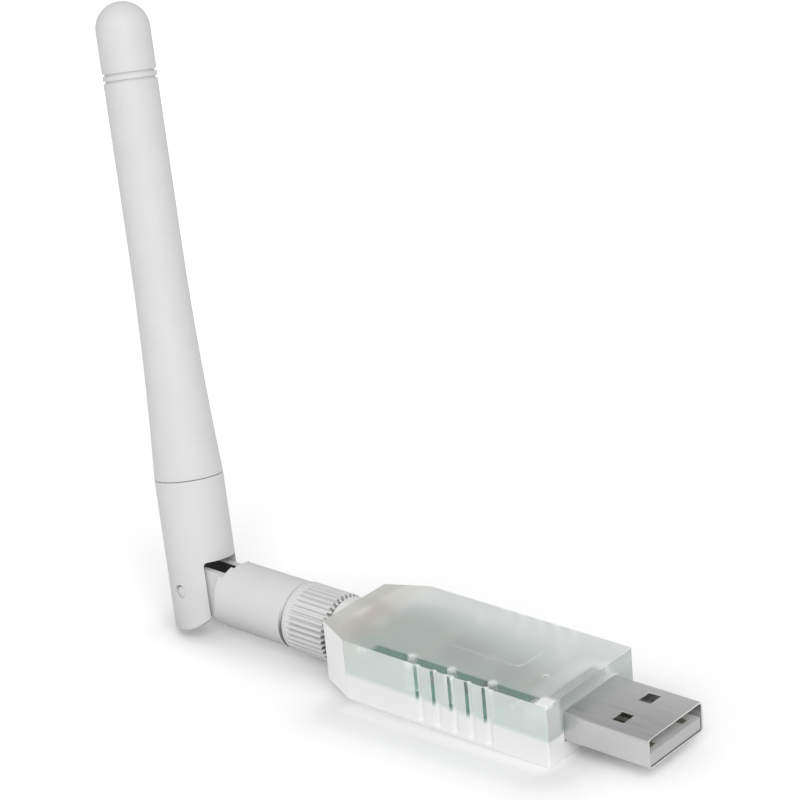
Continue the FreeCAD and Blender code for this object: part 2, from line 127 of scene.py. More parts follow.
def varied(name, dark, light, roughness, metallic=0.0, scale=900.0, bump=2e-5, stretch=None):
    # a finish whose colour and roughness wander a little, over a fine bump
    mat, tree, shader = newMaterial(name, light, roughness, metallic)
    slow = noiseOf(tree, scale / wander["coarser"], 2.0, stretch)
    stops = list(zip(wander["stops"], (dark, light)))
    tree.links.new(rampOf(tree, slow, stops), shader.inputs["Base Color"])
    fine = noiseOf(tree, scale, 3.0, stretch)
    spread = tree.nodes.new("ShaderNodeMapRange")
    spread.inputs["To Min"].default_value = roughness - wander["roughness"]
    spread.inputs["To Max"].default_value = roughness + wander["roughness"]
    tree.links.new(fine, spread.inputs["Value"])
    tree.links.new(spread.outputs["Result"], shader.inputs["Roughness"])
    addBump(tree, shader, fine, bump)
    return mat


def objectAxes(tree):
    coords = tree.nodes.new("ShaderNodeTexCoord")
    split = tree.nodes.new("ShaderNodeSeparateXYZ")
    tree.links.new(coords.outputs["Object"], split.inputs["Vector"])
    return split.outputs


def zoneOf(tree, steps):
    # 1 where every step is passed
    # a step is an axis, its start and end in millimetres, and maybe a lean along X
    axes = objectAxes(tree)
    factor = None
    for axis, start, end, *lean in steps:
        source = axes[axis]
        if lean:
            source = mathOf(tree, 'MULTIPLY_ADD', axes["X"], lean[0], source)
        step = tree.nodes.new("ShaderNodeMapRange")
        step.interpolation_type = 'SMOOTHSTEP'
        step.inputs["From Min"].default_value = start * mm
        step.inputs["From Max"].default_value = end * mm
        tree.links.new(source, step.inputs["Value"])
        passed = step.outputs["Result"]
        factor = mathOf(tree, 'MULTIPLY', factor, passed) if factor else passed
    return factor


def blend(tree, factor, first, second):
    # a number or a colour that changes with the factor
    node = tree.nodes.new("ShaderNodeMix")
    if not isinstance(second, float):
        node.data_type = 'RGBA'
    for name, value in (("Factor", factor), ("A", first), ("B", second)):
        feed(tree, value, [socket for socket in node.inputs if socket.enabled and socket.name == name][0])
    return [socket for socket in node.outputs if socket.enabled][0]


def raysOf(tree, *kinds):
    # 1 for rays of these kinds
    rays = tree.nodes.new("ShaderNodeLightPath").outputs
    factor = rays[kinds[0]]
    for kind in kinds[1:]:
        factor = mathOf(tree, 'MAXIMUM', factor, rays[kind])
    return factor


def mixShaders(tree, factor, first, second, output):
    mixed = tree.nodes.new("ShaderNodeMixShader")
    tree.links.new(factor, mixed.inputs["Fac"])
    tree.links.new(first.outputs[0], mixed.inputs[1])
    tree.links.new(second.outputs[0], mixed.inputs[2])
    tree.links.new(mixed.outputs[0], tree.nodes[output].inputs["Surface"])


antennaGrain = {"scale": 2500.0, "bump": 1.5e-5}


def shaded(name, light, dark, high, low):
    # antenna plastic that lies in the shade: light above and dark below
    mat, tree, shader = newMaterial(name, (light,) * 3, 0.6)
    down = zoneOf(tree, [("Z", high, low)])
    tree.links.new(blend(tree, down, (light,) * 3, (dark,) * 3), shader.inputs["Base Color"])
    addBump(tree, shader, noiseOf(tree, antennaGrain["scale"]), antennaGrain["bump"])
    return mat


def metal(name, dark, light, roughness, **others):
    return varied(name, dark, light, roughness, 1.0, **others)


# Finishes
# dark tone, light tone and roughness; a shade has two tones and two heights
antennaWhite = varied("antennaWhite", (0.69, 0.69, 0.69), (0.71, 0.71, 0.71), 0.55, **antennaGrain)
knurlShade = shaded("knurlShade", 0.86, 0.30, 4.2, -3.5)
rimShade = shaded("rimShade", 0.69, 0.17, 3.2, -1.0)
frontShade = shaded("frontShade", 0.26, 0.06, 3.5, -1.5)
hingeShade = varied("hingeShade", (0.025, 0.025, 0.025), (0.04, 0.04, 0.04), 0.7)
plugSteel = metal("plugSteel", (0.51, 0.51, 0.51), (0.60, 0.60, 0.60), 0.32,
                  scale=1500.0, bump=4e-6, stretch=(1.0, 12.0, 12.0))
goldPlate = metal("goldPlate", (0.36, 0.27, 0.15), (0.46, 0.36, 0.21), 0.55, scale=1500.0, bump=3e-6)
contactPlate = metal("contactPlate", (0.62, 0.57, 0.45), (0.70, 0.65, 0.52), 0.45, bump=3e-6)
boardPads = metal("boardPads", (0.45, 0.36, 0.18), (0.60, 0.50, 0.28), 0.4, bump=3e-6)
solder = metal("solder", (0.42, 0.43, 0.43), (0.52, 0.53, 0.53), 0.4, bump=4e-6)
canSilver = metal("canSilver", (0.30, 0.31, 0.31), (0.36, 0.37, 0.37), 0.55)
bronze = metal("bronze", (0.42, 0.26, 0.12), (0.52, 0.34, 0.18), 0.35)
brass = metal("brass", (0.50, 0.36, 0.14), (0.62, 0.46, 0.20), 0.35)
boardGreen = varied("boardGreen", (0.006, 0.13, 0.085), (0.012, 0.17, 0.115), 0.45, scale=1200.0, bump=4e-6)
# painted shade: a darker copy of the tongue's plastic for its front faces
tongueFrontShade = varied("tongueFrontShade", (0.47, 0.47, 0.465), (0.52, 0.52, 0.515), 0.45)
tonguePlastic = varied("tonguePlastic", (0.60, 0.60, 0.595), (0.66, 0.66, 0.655), 0.45)
chipBlack = varied("chipBlack", (0.012, 0.012, 0.013), (0.022, 0.022, 0.023), 0.5)
ceramic = varied("ceramic", (0.07, 0.07, 0.075), (0.10, 0.10, 0.105), 0.5)
capTan = varied("capTan", (0.34, 0.22, 0.12), (0.42, 0.28, 0.16), 0.4)
beadWhite = varied("beadWhite", (0.82, 0.82, 0.80), (0.90, 0.90, 0.88), 0.4)
coaxBrown = varied("coaxBrown", (0.16, 0.075, 0.03), (0.22, 0.10, 0.045), 0.4)
ledLens = varied("ledLens", (0.75, 0.76, 0.70), (0.85, 0.86, 0.80), 0.2)

# painted light: the steel's colour is lighter on its far part, and one even tone on its narrow sides,
# standing in for how light falls on it
steel = plugSteel.node_tree
steelColour = steel.nodes["Principled BSDF"].inputs["Base Color"]
for axis, start, end, tone in (("Y", -5.0, 9.0, 0.76), ("Z", 2.2, 1.2, 0.61)):
    part = zoneOf(steel, [(axis, start, end)])
    colour = blend(steel, part, steelColour.links[0].from_socket, (tone,) * 3)
    steel.links.new(colour, steelColour)

# nodes that show as the CAD made them
for mat, names in (
    (goldPlate, ("jack_pin", "coupling_nut", "ferrule", "ferrule_pin")),
    (contactPlate, ("plug_contacts",)),
    (beadWhite, ("jack_bead", "ferrule_bead")),
    (bronze, ("snap_ring",)),
    (coaxBrown, ("base_coax", "whip_coax")),
    (brass, ("dipole_tube", "radiator_rod")),
):
    for name in names:
        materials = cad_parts[name].data.materials
        materials.clear()
        materials.append(mat)
print("finishes set")


# Shapes
def meshPiece(name, bm, mats, body, nodes, smooth=35.0):
    # bmesh in millimetres becomes a shaded piece in metres that rides on a body
    bmesh.ops.scale(bm, vec=(mm, mm, mm), verts=bm.verts)
    bmesh.ops.recalc_face_normals(bm, faces=bm.faces)
    bm.normal_update()
    for face in bm.faces:
        face.smooth = True
    for edge in bm.edges:
        edge.smooth = edge.calc_face_angle(math.pi) < math.radians(smooth)
    data = bpy.data.meshes.new(name)
    bm.to_mesh(data)
    bm.free()
    for mat in mats:
        data.materials.append(mat)
    piece = bpy.data.objects.new(name, data)
    scene.collection.objects.link(piece)
    evenNormals(piece)
    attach(piece, body)
    if nodes:
        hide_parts(*nodes)
    return piece


def evenNormals(piece):
    # flat faces stay flat beside rounded edges
    modifier = piece.modifiers.new("even", 'WEIGHTED_NORMAL')
    modifier.keep_sharp = True
    data = bpy.data.meshes.new_from_object(piece.evaluated_get(bpy.context.evaluated_depsgraph_get()))
    piece.modifiers.clear()
    old = piece.data
    name = old.name
    piece.data = data
    bpy.data.meshes.remove(old)
    data.name = name


def onAxis(a, b, along, axis, centre=(0.0, 0.0, 0.0)):
    # a point from two distances across an axis and one along it
    x, y, z = {"x": (along, a, b), "y": (a, along, b), "z": (a, b, along)}[axis]
    return (centre[0] + x, centre[1] + y, centre[2] + z)


def loftMesh(sections, axis="z", loop=False):
    # a solid through outlines across the axis; its ends are capped, or joined to each other in a loop
    bm = bmesh.new()
    rows = [[bm.verts.new(onAxis(a, b, along, axis)) for a, b in outline] for along, outline in sections]
    count = len(rows[0])
    for low, high in zip(rows, rows[1:] + rows[:1] if loop else rows[1:]):
        for i in range(count):
            j = (i + 1) % count
            bm.faces.new((low[i], low[j], high[j], high[i]))
    if not loop:
        bm.faces.new(rows[0][::-1])
        bm.faces.new(rows[-1])
    return bm


def prismMesh(points, low, high, axis="z"):
    return loftMesh([(low, points), (high, points)], axis)


def boxMesh(x0, x1, y0, y1, z0, z1):
    return prismMesh([(x0, y0), (x1, y0), (x1, y1), (x0, y1)], z0, z1)


def tubeMesh(profile, steps, axis="z", centre=(0.0, 0.0, 0.0)):
    # profile of (radius, distance): a ring, or a solid that starts and ends at radius zero
    bm = bmesh.new()
    turns = [2.0 * math.pi * i / steps for i in range(steps)]
    rows = []
    for radius, along in profile:
        points = [(radius * math.cos(a), radius * math.sin(a)) for a in turns] if radius else [(0.0, 0.0)]
        rows.append([bm.verts.new(onAxis(a, b, along, axis, centre)) for a, b in points])
    pairs = list(zip(rows, rows[1:]))
    if len(rows[0]) > 1:
        pairs.append((rows[-1], rows[0]))
    for low, high in pairs:
        for i in range(steps):
            j = (i + 1) % steps
            if len(low) == 1:
                bm.faces.new((low[0], high[j], high[i]))
            elif len(high) == 1:
                bm.faces.new((low[i], low[j], high[0]))
            else:
                bm.faces.new((low[i], low[j], high[j], high[i]))
    return bm


def rodMesh(radius, start, end, steps, axis="z", centre=(0.0, 0.0, 0.0)):
    return tubeMesh([(0, start), (radius, start), (radius, end), (0, end)], steps, axis, centre)


def turnOf(radius, along, bend, start, end, steps=4):
    # points of a rounded profile corner about (radius, along)
    row = []
    for i in range(steps + 1):
        angle = math.radians(start + (end - start) * i / steps)
        row.append((radius + bend * math.cos(angle), along + bend * math.sin(angle)))
    return row


def cornerArc(before, corner, after, radius, steps):
    # points of a rounded corner, in the plane
    a = (Vector(before) - Vector(corner)).normalized()
    b = (Vector(after) - Vector(corner)).normalized()
    half = a.angle(b) / 2.0
    middle = Vector(corner) + (a + b).normalized() * (radius / math.sin(half))
    start = Vector(corner) + a * (radius / math.tan(half)) - middle
    end = Vector(corner) + b * (radius / math.tan(half)) - middle
    turn = start.angle_signed(end)
    points = []
    for i in range(steps + 1):
        angle = -turn * i / steps
        c, s = math.cos(angle), math.sin(angle)
        points.append(tuple(middle + Vector((start.x * c - start.y * s, start.x * s + start.y * c))))
    return points


def roundedPlan(x0, x1, y0, y1, radius, steps=6, inset=0.0):
    # rectangle with rounded corners, drawn in by the inset
    x0, x1, y0, y1 = x0 + inset, x1 - inset, y0 + inset, y1 - inset
    plan = [(x0, y0), (x1, y0), (x1, y1), (x0, y1)]
    points = []
    for i, corner in enumerate(plan):
        points += cornerArc(plan[i - 1], corner, plan[(i + 1) % 4], radius, steps)
    return points


def placed(bm, matrix):
    bmesh.ops.transform(bm, matrix=matrix, verts=bm.verts)
    return bm


def tinted(bm, index):
    for face in bm.faces:
        face.material_index = index
    return bm


softening = {"join": 2e-3, "flat": 0.5, "sharp": 40.0}  # millimetres, then degrees


def softened(bm, width):
    # takes the sharpness off the edges
    bmesh.ops.remove_doubles(bm, verts=bm.verts, dist=softening["join"])
    bmesh.ops.recalc_face_normals(bm, faces=bm.faces)
    flat, limit = math.radians(softening["flat"]), math.radians(softening["sharp"])
    bmesh.ops.dissolve_limit(bm, angle_limit=flat, verts=bm.verts, edges=bm.edges)
    sharp = [e for e in bm.edges if len(e.link_faces) == 2 and e.calc_face_angle(0.0) > limit]
    bmesh.ops.bevel(bm, geom=sharp, offset=width, segments=2, profile=0.5,
                    affect='EDGES', clamp_overlap=True)
    return bm


def softBox(box, width):
    return softened(boxMesh(*box), width)


def joined(bm, tool, how):
    # boolean of two closed meshes, through throwaway objects
    a = bpy.data.objects.new("workA", bpy.data.meshes.new("workA"))
    b = bpy.data.objects.new("workB", bpy.data.meshes.new("workB"))
    for obj, source in ((a, bm), (b, tool)):
        bmesh.ops.recalc_face_normals(source, faces=source.faces)
        source.to_mesh(obj.data)
        source.free()
        scene.collection.objects.link(obj)
    modifier = a.modifiers.new("join", 'BOOLEAN')
    modifier.operation = how
    modifier.solver = 'EXACT'
    modifier.object = b
    result = bmesh.new()
    result.from_object(a, bpy.context.evaluated_depsgraph_get())
    for obj in (a, b):
        data = obj.data
        bpy.data.objects.remove(obj)
        bpy.data.meshes.remove(data)
    return result


def cut(bm, tool):
    return joined(bm, tool, 'DIFFERENCE')


def gathered(parts):
    # several meshes as one
    bm = bmesh.new()
    for part in parts:
        work = bpy.data.meshes.new("gathered")
        part.to_mesh(work)
        part.free()
        bm.from_mesh(work)
        bpy.data.meshes.remove(work)
    return bm


axisHeight = -0.3  # of the connector, the collar and the antenna's base

# Case
case = {
    "length": 41.3, "halfWidth": 9.5, "halfHeight": 4.6, "wall": 1.3, "parting": -0.45, "rim": 0.15,
    "taperLength": 6.3, "taperDepth": 2.9,  # the back end narrows
    "corners": (0.6, 0.35, 0.35, 0.6, 0.3, 0.3),  # near taper, two at the front, far taper, two at the back
    "grips": 5, "gripPitch": 2.94, "gripMiddle": -15.8, "gripRadius": 0.75, "gripDepth": 0.5,
    "gripFoot": 0.45, "gripHead": 0.2,  # how far the grooves end from the bottom and the top
    "footFade": ((0.0, 0.0), (0.02, 0.5), (0.15, 0.85), (0.35, 1.0)),  # distance past the end, share
    "headFade": ((0.2, 1.0), (0.08, 0.85), (0.01, 0.5), (0.0, 0.0)),
    "neckLength": 1.7, "neckRadius": 4.9, "neckEdge": 0.2, "neckRoot": 0.6, "bore": 3.2,
    "slot": (6.05, 2.3),  # half sizes of the opening for the plug
    "panel": (-21.6, -9.2, 2.9, 1.0),  # back, front, half width, corner
    "panelEdge": ((-0.3, 0.0), (0.0, 0.0), (0.08, 0.08), (0.16, 0.2), (0.2, 0.36)),  # height, inset
    "mark": (-5.0, -3.0, 0.6, 0.2),  # place, radius, depth
    "posts": (-24.25, -17.3, -10.35), "postRadius": 0.65, "postInset": 0.75,
    "postSpans": ((-0.43, 4.45), (-3.55, -1.67)),  # above and below the board
    "border": 1.5, "borderStart": -29.8,  # the clear strip along the top
}


def grooveArc(x, w, flute, steps=10):
    # one grip groove in the near wall
    r = case["gripRadius"]
    out = r - case["gripDepth"]
    half = math.sqrt(r * r - out * out)
    row = []
    for i in range(steps + 1):
        dx = -half + 2 * half * i / steps
        depth = (math.sqrt(max(r * r - dx * dx, 0.0)) - out) * flute
        row.append((x + dx, depth - w))
    return row


def caseOutline(inset, flute):
    # plan outline with rounded corners; flute 0 leaves the grip grooves out, 1 cuts them fully
    w = case["halfWidth"] - inset
    front = -inset
    back = -case["length"] + inset
    slope = math.hypot(case["taperLength"], case["taperDepth"])
    shift = inset * (slope - case["taperLength"]) / case["taperDepth"]
    endShift = inset * (slope - case["taperDepth"]) / case["taperLength"]
    taperX = -case["length"] + case["taperLength"] + shift
    endY = case["halfWidth"] - case["taperDepth"] - endShift
    near = [(case["borderStart"], -w)]
    for k in range(case["grips"]):
        near += grooveArc(case["gripMiddle"] + case["gripPitch"] * (k - (case["grips"] - 1) / 2), w, flute)
    far = [(x, -y) for x, y in reversed(near)]
    plan = [(taperX, -w), (front, -w), (front, w), (taperX, w), (back, endY), (back, -endY)]
    points = []
    for i, corner in enumerate(plan):
        radius = max(case["corners"][i] - inset, 0.05)
        points += cornerArc(plan[i - 1], corner, plan[(i + 1) % 6], radius, 5)
        points += {0: near, 2: far}.get(i, [])
    return points


def caseSkin():
    # outlines from the bottom up: height, inset, depth of the grooves
    h, rim = case["halfHeight"], case["rim"]
    angles = [math.pi / 2 * i / 3 for i in range(4)]
    turns = [(rim * (1 - math.sin(a)), rim * (1 - math.cos(a))) for a in angles]
    levels = [(-h + drop, inset, 0.0) for drop, inset in reversed(turns)]
    levels += [(-h + case["gripFoot"] + rise, 0.0, deep) for rise, deep in case["footFade"]]
    levels.append((case["parting"], 0.0, 1.0))
    levels += [(h - case["gripHead"] - drop, 0.0, deep) for drop, deep in case["headFade"]]
    levels += [(h - drop, inset, 0.0) for drop, inset in turns]
    levels.append((h, case["border"], 0.0))
    return loftMesh([(z, caseOutline(inset, flute)) for z, inset, flute in levels])


def neckMesh():
    r, x0, edge = case["neckRadius"], -case["length"], case["neckEdge"]
    root, back, low = x0 + case["neckRoot"], x0 - case["neckLength"], 0.01 - case["halfHeight"]
    profile = [(0, root), (r, root), (r, back + edge), (r - 0.3 * edge, back + 0.3 * edge)]
    profile += [(r - edge, back), (0, back)]
    neck = tubeMesh(profile, 96, "x", (0, 0, axisHeight))
    return joined(neck, boxMesh(back - 1, 0, -9, 9, low, -low), 'INTERSECT')


def caseBlank():
    w, x0, (y, z) = case["wall"], -case["length"], case["slot"]
    low = case["halfHeight"] - w
    bm = cut(joined(caseSkin(), neckMesh(), 'UNION'), prismMesh(caseOutline(w, 0.0), -low, low))
    bm = cut(bm, boxMesh(-w - 1, 1, -y, y, -z, z))
    start = x0 - case["neckLength"] - 1
    return cut(bm, rodMesh(case["bore"], start, x0 + w + 1, 64, "x", (0, 0, axisHeight)))


def caseShell():
    # both halves in one, with the raised panel and the round mark
    h = case["halfHeight"]
    x0, x1, y1, radius = case["panel"]
    panel = []
    for rise, inset in case["panelEdge"]:
        panel.append((h + rise, roundedPlan(x0, x1, -y1, y1, radius - inset, inset=inset)))
    bm = joined(caseBlank(), loftMesh(panel), 'UNION')
    x, y, radius, depth = case["mark"]
    foot = h - depth
    profile = [(0, foot), (radius - 0.1, foot), (radius, foot + 0.1), (radius, h + 1), (0, h + 1)]
    bm = cut(bm, tubeMesh(profile, 32, "z", (x, y, 0)))
    bmesh.ops.remove_doubles(bm, verts=bm.verts, dist=1e-4)
    return bm


def postsMesh():
    # the round posts that hold the board
    y, r = case["halfWidth"] - case["wall"] - case["postInset"], case["postRadius"]
    posts = []
    for x in case["posts"]:
        for side in (-1, 1):
            for z0, z1 in case["postSpans"]:
                profile = [(0, z0), (r, z0)] + turnOf(0, z1 - r, r, 0, 90, 6)[:-1] + [(0, z1)]
                posts.append(tubeMesh(profile, 32, "z", (x, side * y, 0)))
    return gathered(posts)


def depthInWall(x, y):
    # how far a point lies inside the plan outline
    taperX = -case["length"] + case["taperLength"]
    slope = math.hypot(case["taperLength"], case["taperDepth"])
    across = abs(y) - case["halfWidth"]
    slant = ((x - taperX) * case["taperDepth"] - across * case["taperLength"]) / slope
    return min(-across, slant, x + case["length"], -x)


def zoneCase(piece):
    # material by where a face lies: 0 top, 1 sides, 2 inner skin, 3 milky end, 4 front,
    # 5 and 6 the two flanks of a groove, 6 with a painted highlight, 7 the rim in the collar, in painted
    # shade
    h, w, back, (slotY, slotZ) = case["halfHeight"], case["halfWidth"], -case["length"], case["slot"]
    gripReach = case["gripPitch"] * case["grips"] / 2
    for face in piece.data.polygons:
        c, n = face.center * 1000.0, face.normal
        deep = depthInWall(c.x, c.y) > 0.8 and abs(c.z) < h - case["wall"] + 0.02
        slot = -case["wall"] - 0.01 < c.x < -0.01 and abs(c.y) < slotY + 0.05 and abs(c.z) < slotZ + 0.1
        grip = abs(c.x - case["gripMiddle"]) < gripReach and abs(n.z) < 0.5
        index = 1
        if deep or slot:
            index = 2
        elif c.x < back - 0.02:
            rim = c.x < back - case["neckLength"] + 0.22 and n.x > -0.5
            index = 7 if rim else (0 if n.z > 0.2 else 3)
        elif n.z > 0.3 and c.z > h - 0.4:
            index = 0
        elif c.x < back + case["taperLength"] - 0.2 and abs(n.z) < 0.9:
            index = 3
        elif n.x > 0.7 and c.x > -0.3:
            index = 4
        elif grip and n.x > 0.66 and abs(c.y) > w - case["gripDepth"] - 0.02:
            index = 5
        elif grip and n.x < -0.1 and abs(c.y) < w - 0.05:
            index = 6
        face.material_index = index


# where the plastic's look changes, as steps in millimetres
places = {
    "lighterFar": [("Y", -7.5, 2.5, 0.22)],  # the far and front part of the top is milkier
    "overJack": [("X", -33.0, -37.5)],
    "endWall": [("X", -37.6, -39.4)],
    "onNeck": [("X", -41.2, -41.5)],
    "nearBorder": [("Y", -7.7, -8.25), ("X", -30.6, -29.0), ("X", -0.5, -1.3)],
    "overPlug": [("X", -1.9, -1.0), ("Y", -7.6, -6.8), ("Y", 3.4, 1.8)],  # the plug shows through
    # painted highlight at the near front corner of the top
    "frontCorner": [("X", -2.3, -1.5), ("Y", -7.0, -7.8)],
    "aboveParting": [("Z", -1.2, 0.0)],
    "belowParting": [("Z", -1.45, -0.15)],
    "frontNear": [("Y", -6.2, -7.0), ("Z", -1.2, 0.0)],
    # painted highlight at the near top edge of the front
    "frontTop": [("Z", 3.9, 4.2), ("Y", -7.6, -8.2)],
    "farSide": [("Y", 2.0, 6.0)],
    "postTop": [("Z", 2.6, 3.6)],
}
milk = {"bend": 1.46, "shadow": 0.92, "grain": 2600.0, "bump": 4e-6}


def plastic(name, colour, through, roughness, zones=(), shades=False):
    # milky plastic, part diffuse and part see-through; each zone is a place and the look that it turns to
    mat, tree, shader = newMaterial(name, colour, roughness)
    shader.inputs["Transmission Weight"].default_value = through
    shader.inputs["IOR"].default_value = milk["bend"]
    look = [colour, through, roughness]
    for place, *other in zones:
        factor = zoneOf(tree, places[place])
        look = [blend(tree, factor, old, new) for old, new in zip(look, other)]
    if zones:
        for socket, value in zip(("Base Color", "Transmission Weight", "Roughness"), look):
            tree.links.new(value, shader.inputs[socket])
    if not shades:
        clear = tree.nodes.new("ShaderNodeBsdfTransparent")
        clear.inputs["Color"].default_value = (milk["shadow"],) * 3 + (1.0,)
        mixShaders(tree, raysOf(tree, "Is Shadow Ray"), shader, clear, "Material Output")
    addBump(tree, shader, noiseOf(tree, milk["grain"], 2.0), milk["bump"])
    return mat


caseTop = plastic("caseTop", (0.93, 0.95, 0.945), 0.57, 0.5, [
    ("lighterFar", (0.95, 0.955, 0.953), 0.36, 0.5), ("overJack", (0.85, 0.835, 0.79), 0.45, 0.6),
    ("endWall", (0.66, 0.655, 0.62), 0.25, 0.5), ("onNeck", (0.84, 0.84, 0.82), 0.25, 0.5),
    ("nearBorder", (0.95, 0.98, 0.97), 0.86, 0.12), ("overPlug", (0.86, 0.87, 0.87), 0.74, 0.25),
    ("frontCorner", (0.97, 0.97, 0.97), 0.12, 0.3)])
caseSide = plastic("caseSide", (0.905, 0.907, 0.905), 0.10, 0.35, [
    ("aboveParting", (0.90, 0.968, 0.952), 0.36, 0.14)])
caseInner = plastic("caseInner", (0.99, 1.0, 1.0), 1.0, 0.05, [
    ("farSide", (0.97, 0.975, 0.975), 0.30, 0.30)])
caseEnd = plastic("caseEnd", (0.98, 0.98, 0.975), 0.05, 0.40, shades=True)
caseFront = plastic("caseFront", (0.905, 0.907, 0.905), 0.10, 0.35, [
    ("aboveParting", (0.93, 0.94, 0.94), 0.66, 0.15), ("frontNear", (0.95, 0.95, 0.95), 0.42, 0.2),
    ("frontTop", (0.97, 0.97, 0.97), 0.12, 0.3)])
caseGroove = plastic("caseGroove", (0.86, 0.86, 0.86), 0.10, 0.35, [
    ("belowParting", (0.62, 0.82, 0.76), 0.80, 0.15)])
# painted highlight: one flank of each groove turns whiter above the parting
caseGleam = plastic("caseGleam", (0.85, 0.85, 0.85), 0.10, 0.35, [
    ("aboveParting", (0.93, 0.99, 0.97), 0.15, 0.2)])
casePost = plastic("casePost", (0.95, 0.975, 0.965), 0.93, 0.35, [
    ("postTop", (0.93, 0.95, 0.945), 0.5, 0.5)])
caseLooks = [caseTop, caseSide, caseInner, caseEnd, caseFront, caseGroove, caseGleam, frontShade]
zoneCase(meshPiece("caseShell", caseShell(), caseLooks,
                   "stick", ("case_upper", "case_lower"), 40.0))
meshPiece("casePosts", postsMesh(), [casePost], "stick", (), 40.0)
print("case built")

# Whip
# it stands in a frame of its own, with heights above the pin
whip = {
    "pin": (-71.6, 0.0, axisHeight), "lean": 10.7, "swing": 8.2,
    "radius": 3.94, "flareTop": 52.0, "flare": 1088.0, "bore": 2.6, "edge": 0.12,
    "seam": 16.35, "gap": 0.1, "socket": (3.45, 20.9),  # the socket's radius and top
    "low": 74.95, "high": 75.95, "grooveHalf": 0.175, "grooveEdge": 0.06, "neck": 3.64,  # the fine grooves
    "capRadius": 3.97, "tip": 86.2, "capEdge": 0.08, "capPlug": (2.55, 5.0),  # its plug's radius and length
}
swing = Matrix.Rotation(-math.radians(whip["swing"]), 4, 'X')
whipFrame = Matrix.Translation(whip["pin"]) @ swing @ Matrix.Rotation(-math.radians(whip["lean"]), 4, 'Y')


def sleeveMesh():
    foot, top, bend, curve = whip["seam"] + whip["gap"], whip["flareTop"], whip["edge"], 32
    start = foot + bend
    heights = [start + (top - start) * i / curve for i in range(curve + 1)]
    outside = [(whip["radius"] + (top - z) ** 2 / whip["flare"], z) for z in heights]
    profile = turnOf(outside[0][0] - bend, start, bend, -90, -15, 3) + outside
    r, half, soft = whip["radius"], whip["grooveHalf"], whip["grooveEdge"]
    low, above, end = whip["low"] - half, whip["low"] + half, whip["high"] - half
    socket, socketTop = whip["socket"]
    profile += turnOf(r - soft, low - soft, soft, 0, 90, 3) + [(whip["neck"], low), (whip["neck"], above)]
    profile += turnOf(r - soft, above + soft, soft, -90, 0, 3) + turnOf(r - soft, end - soft, soft, 0, 90, 3)
    profile += [(whip["bore"], end), (whip["bore"], socketTop), (socket, socketTop), (socket, foot)]
    return tubeMesh(profile, 128)


def capMesh():
    r, half, soft, neck = whip["capRadius"], whip["grooveHalf"], whip["capEdge"], whip["neck"]
    seat, foot = whip["high"] - half, whip["high"] + half
    inner, long = whip["capPlug"]
    profile = [(0, seat - long), (inner - 0.05, seat - long), (inner, seat - long + 0.1)]
    profile += [(inner, seat), (neck, seat), (neck, foot)] + turnOf(r - soft, foot + soft, soft, -90, 0, 3)
    profile += turnOf(0, whip["tip"] - r, r, 0, 90, 20)[:-1] + [(0, whip["tip"])]
    return tubeMesh(profile, 128)


clevis = {
    "radius": 5.1, "edge": 0.12, "soften": 0.14, "front": 5.3, "frontFoot": 2.36,
    "reach": 5.8, "corner": 1.6,  # the round foot of the ears, and its back corner
    "slot": 3.3, "roof": 4.0, "slotCorner": 0.5,
    "hole": 1.0, "lead": 0.8, "spigot": 3.4, "spigotTop": 20.85,
}


def clevisMesh():
    r, seam, bend = clevis["radius"], whip["seam"], clevis["edge"]
    profile = [(0, -8), (r, -8)] + turnOf(r - bend, seam - bend, bend, 0, 90, 3) + [(0, seam)]
    halfFacet = Matrix.Rotation(math.pi / 128, 4, 'Z')  # so that no edge of the tube lines up with the hole
    body = placed(tubeMesh(profile, 128), halfFacet)
    reach, corner, front = clevis["reach"], clevis["corner"], clevis["front"]
    start = -math.degrees(math.asin(clevis["frontFoot"] / reach))
    side = [(front, seam + 1)] + turnOf(0, 0, reach, start, -90, 14)
    side += turnOf(corner - r, corner - reach, corner, -90, -180, 8)
    side += [(-front, corner - reach), (-front, seam + 1)]
    bm = joined(body, prismMesh(side, -6, 6, "y"), 'INTERSECT')
    w, roof, bend = clevis["slot"], clevis["roof"], clevis["slotCorner"]
    slot = [(-w, -9), (w, -9)] + turnOf(w - bend, roof - bend, bend, 0, 90)
    slot += turnOf(bend - w, roof - bend, bend, 90, 180)
    bm = cut(cut(bm, prismMesh(slot, -7, 7, "x")), rodMesh(clevis["hole"], -7, 7, 32, "y"))
    bm = joined(bm, rodMesh(clevis["spigot"], seam - 1, clevis["spigotTop"], 64), 'UNION')
    return softened(cut(bm, rodMesh(clevis["lead"], 0, 30, 24)), clevis["soften"])


# each pin has a rounded end, as radius and depth, and sits low in its hole
pins = {
    "inset": 0.2, "place": (0.1, 0.0, -0.1),
    "end": ((0.62, 0.0), (0.76, 0.06), (0.84, 0.18), (0.86, 0.3)),
}


def pinsMesh():
    outside, inside = clevis["radius"] - pins["inset"], base["cheekGap"] + pins["inset"]
    profile = [(0, outside)] + [(r, outside - depth) for r, depth in pins["end"]]
    profile += [(profile[-1][0], inside), (0, inside)]
    both = ([(r, -y) for r, y in profile], profile)
    return gathered([tubeMesh(pin, 32, "y", pins["place"]) for pin in both])


# Antenna base
# its frame lies along the connector's axis
base = {
    "shoulder": -64.4, "front": -51.6, "radius": 4.95, "frontEdge": 0.35,
    "knuckle": 3.5, "cheek": 2.85, "cheekGap": 1.7, "slotRun": 0.6, "hole": 1.04, "soften": 0.14,
    "run": 1.25, "blend": 1.1, "step": 0.45,  # the shoulder's flow into the cheeks, and its step above them
    "seat": -58.1, "seatRadius": 2.4, "lead": 0.8,
}
baseFrame = Matrix.Translation((0.0, 0.0, axisHeight)) @ swing


def shoulderWidth(x):
    # half the width in plan: the flat cheeks flow out into the round barrel
    part = min(max((x - base["shoulder"] + base["run"]) / base["blend"], 0.0), 1.0)
    return base["cheek"] + (base["radius"] + 0.05 - base["cheek"]) * part * part * (3 - 2 * part)


